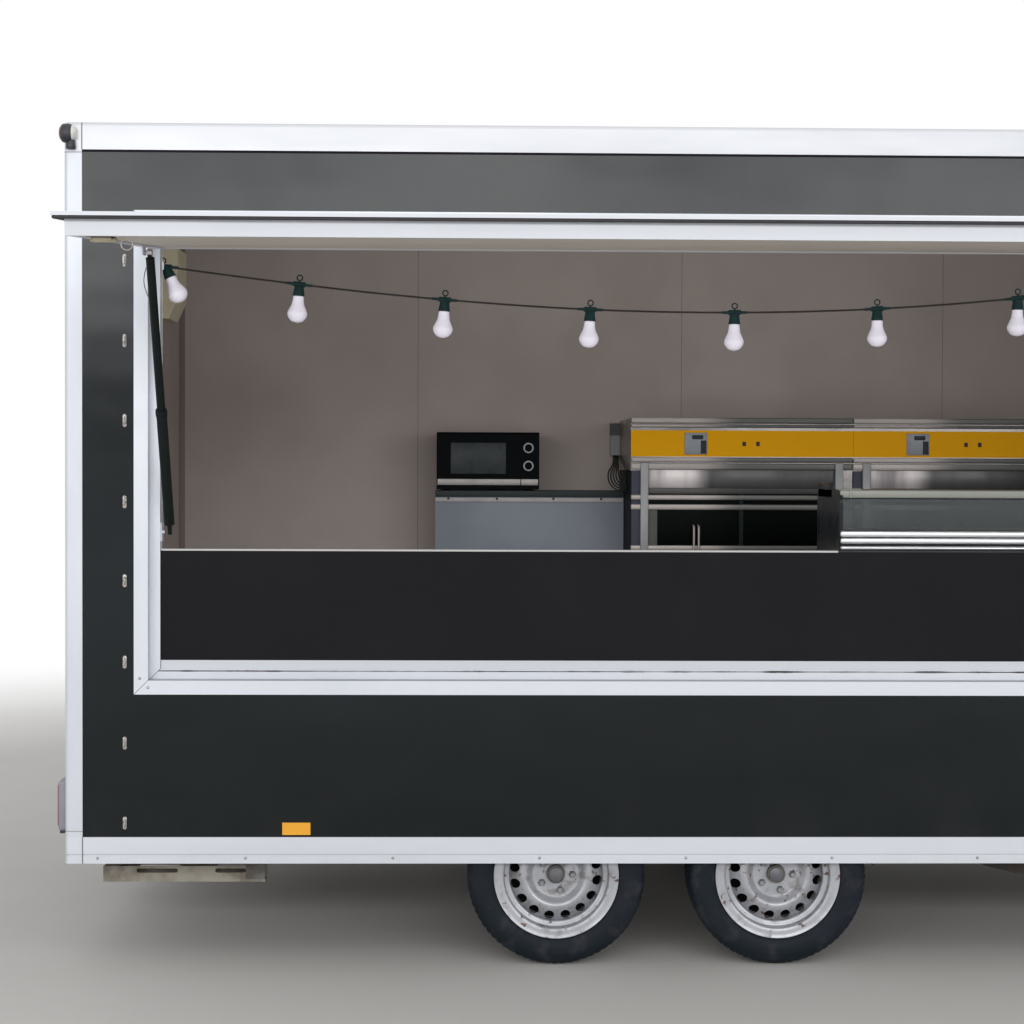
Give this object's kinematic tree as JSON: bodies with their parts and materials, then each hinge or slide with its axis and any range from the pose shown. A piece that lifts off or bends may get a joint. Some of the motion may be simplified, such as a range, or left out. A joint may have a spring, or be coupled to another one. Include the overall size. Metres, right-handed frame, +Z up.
{
  "type": "tandem axle catering trailer",
  "caption": "Closed box catering trailer on tandem axles with a top-hinged serving hatch, counter, kitchen inside, drawbar and jockey wheel.",
  "frame": {"origin": "middle of the whole trailer with its flap open and its drawbar, on the ground under the tyres", "axes": "+X forward to the towing coupling, +Y from the serving side to the far side, +Z up"},
  "size_m": [5.796, 3.9106, 2.771],
  "materials": {
    "black_cladding": "gloss",
    "aluminium_profile": "satin",
    "white_panel": "satin",
    "galvanised_steel": "galvanised",
    "black_plastic": "matte",
    "black_steel": "satin",
    "wheel_silver": "satin",
    "tyre_rubber": "worn",
    "rubber": "matte",
    "plywood_floor": "coated",
    "bench_blue_grey": "satin",
    "oven_steel": "gloss",
    "clear_glass": "clear",
    "red_lens": "gloss",
    "orange_lens": "gloss",
    "green_cord": "matte",
    "white_bulb": "satin",
    "cream_plastic": "matte"
  },
  "bodies": {
    "trailer_body": {"floor": "plywood_floor", "wheel_boxes": "black_plastic", "bottom_rail": "aluminium_profile", "corner_posts": "aluminium_profile", "roof_rail": "aluminium_profile", "roof": "white_panel", "wall_serving": "black_cladding", "wall_far": "black_cladding", "wall_front": "black_cladding", "wall_rear": "black_cladding", "door_hinges": "galvanised_steel", "hatch_frame": "aluminium_profile", "counter_top": "white_panel", "counter_front": "black_plastic", "counter_base": "white_panel", "display_case": "black_plastic", "display_glass": "clear_glass", "back_bench": "bench_blue_grey", "microwave": "black_steel", "ovens": "oven_steel", "wall_boxes": "cream_plastic", "rear_lamps": "red_lens", "marker_lamps": "red_lens", "side_reflectors": "orange_lens", "chassis_rails": "galvanised_steel", "cross_members": "galvanised_steel", "axles": "galvanised_steel", "drawbar_beams": "galvanised_steel", "overrun_housing": "black_steel", "gaiter": "rubber", "coupling_head": "galvanised_steel", "jockey_clamp": "galvanised_steel", "steady_brackets": "galvanised_steel", "light_cord": "green_cord", "lamp_holders": "black_plastic", "bulbs": "white_bulb"},
    "flap": {"flap_frame": "aluminium_profile", "flap_panel": "white_panel"},
    "door": {"door_leaf": "black_cladding", "door_handle": "black_plastic"},
    "strut_rod_rear": {"strut_rod_rear": "black_steel"},
    "strut_sleeve_rear": {"strut_sleeve_rear": "black_plastic"},
    "strut_rod_front": {"strut_rod_front": "black_steel"},
    "strut_sleeve_front": {"strut_sleeve_front": "black_plastic"},
    "wheel_rear_serving": {"tyre_rear_serving": "tyre_rubber", "rim_rear_serving": "wheel_silver"},
    "steady_rear_serving": {"steady_leg_rear_serving": "galvanised_steel"},
    "wheel_rear_far": {"tyre_rear_far": "tyre_rubber", "rim_rear_far": "wheel_silver"},
    "steady_rear_far": {"steady_leg_rear_far": "galvanised_steel"},
    "wheel_front_serving": {"tyre_front_serving": "tyre_rubber", "rim_front_serving": "wheel_silver"},
    "steady_front_serving": {"steady_leg_front_serving": "galvanised_steel"},
    "wheel_front_far": {"tyre_front_far": "tyre_rubber", "rim_front_far": "wheel_silver"},
    "steady_front_far": {"steady_leg_front_far": "galvanised_steel"},
    "jockey_stem": {"jockey_stem": "galvanised_steel"},
    "jockey_leg": {"jockey_leg": "galvanised_steel"},
    "jockey_wheel": {"jockey_wheel": "rubber"}
  },
  "joints": [
    {"name": "flap_hinge", "type": "hinge", "parent": "trailer_body", "child": "flap", "pos_m": [-0.622, -0.47266, 2.418], "axis": [1, 0, 0], "range_deg": [0, 85.15]},
    {"name": "strut_pivot_rear", "type": "hinge", "parent": "flap", "child": "strut_rod_rear", "pos_m": [-2.537, -0.80884, 2.3112], "axis": [1, 0, 0], "range_deg": [-110.78, 0.5]},
    {"name": "strut_slide_rear", "type": "slide", "parent": "strut_rod_rear", "child": "strut_sleeve_rear", "axis": [0, -0.4332, 0.9013], "range_m": [-0.001, 0.3339]},
    {"name": "strut_pivot_front", "type": "hinge", "parent": "flap", "child": "strut_rod_front", "pos_m": [1.293, -0.80884, 2.3112], "axis": [1, 0, 0], "range_deg": [-110.78, 0.5]},
    {"name": "strut_slide_front", "type": "slide", "parent": "strut_rod_front", "child": "strut_sleeve_front", "axis": [0, -0.4332, 0.9013], "range_m": [-0.001, 0.3339]},
    {"name": "door_hinge", "type": "hinge", "parent": "trailer_body", "child": "door", "pos_m": [-2.88, 0.87334, 1.45], "axis": [0, 0, -1], "range_deg": [0, 100]},
    {"name": "wheel_spin_rear_serving", "type": "hinge", "parent": "trailer_body", "child": "wheel_rear_serving", "pos_m": [-1.258, -0.30866, 0.297], "axis": [0, 1, 0], "continuous": true},
    {"name": "wheel_spin_rear_far", "type": "hinge", "parent": "trailer_body", "child": "wheel_rear_far", "pos_m": [-1.258, 1.81134, 0.297], "axis": [0, 1, 0], "continuous": true},
    {"name": "wheel_spin_front_serving", "type": "hinge", "parent": "trailer_body", "child": "wheel_front_serving", "pos_m": [-0.52, -0.30866, 0.297], "axis": [0, 1, 0], "continuous": true},
    {"name": "wheel_spin_front_far", "type": "hinge", "parent": "trailer_body", "child": "wheel_front_far", "pos_m": [-0.52, 1.81134, 0.297], "axis": [0, 1, 0], "continuous": true},
    {"name": "steady_hinge_rear_serving", "type": "hinge", "parent": "trailer_body", "child": "steady_rear_serving", "pos_m": [-2.281, -0.14866, 0.262], "axis": [0, -1, 0], "range_deg": [0, 27]},
    {"name": "steady_hinge_rear_far", "type": "hinge", "parent": "trailer_body", "child": "steady_rear_far", "pos_m": [-2.281, 1.65134, 0.262], "axis": [0, -1, 0], "range_deg": [0, 27]},
    {"name": "steady_hinge_front_serving", "type": "hinge", "parent": "trailer_body", "child": "steady_front_serving", "pos_m": [1.037, -0.14866, 0.262], "axis": [0, 1, 0], "range_deg": [0, 27]},
    {"name": "steady_hinge_front_far", "type": "hinge", "parent": "trailer_body", "child": "steady_front_far", "pos_m": [1.037, 1.65134, 0.262], "axis": [0, 1, 0], "range_deg": [0, 27]},
    {"name": "jockey_slide", "type": "slide", "parent": "trailer_body", "child": "jockey_stem", "axis": [0, 0, 1], "range_m": [0, 0.125]},
    {"name": "jockey_swivel", "type": "hinge", "parent": "jockey_stem", "child": "jockey_leg", "pos_m": [2.478, 0.63134, 0.3], "axis": [0, 0, 1], "continuous": true},
    {"name": "jockey_roll", "type": "hinge", "parent": "jockey_leg", "child": "jockey_wheel", "pos_m": [2.423, 0.63134, 0.1], "axis": [0, 1, 0], "continuous": true}
  ],
  "couplings": [
    {"joint": "strut_pivot_rear", "follows": "flap_hinge", "ratio": -1.2951},
    {"joint": "strut_slide_rear", "follows": "flap_hinge", "m_per_rad": 0.224},
    {"joint": "strut_pivot_front", "follows": "flap_hinge", "ratio": -1.2951},
    {"joint": "strut_slide_front", "follows": "flap_hinge", "m_per_rad": 0.224}
  ]
}
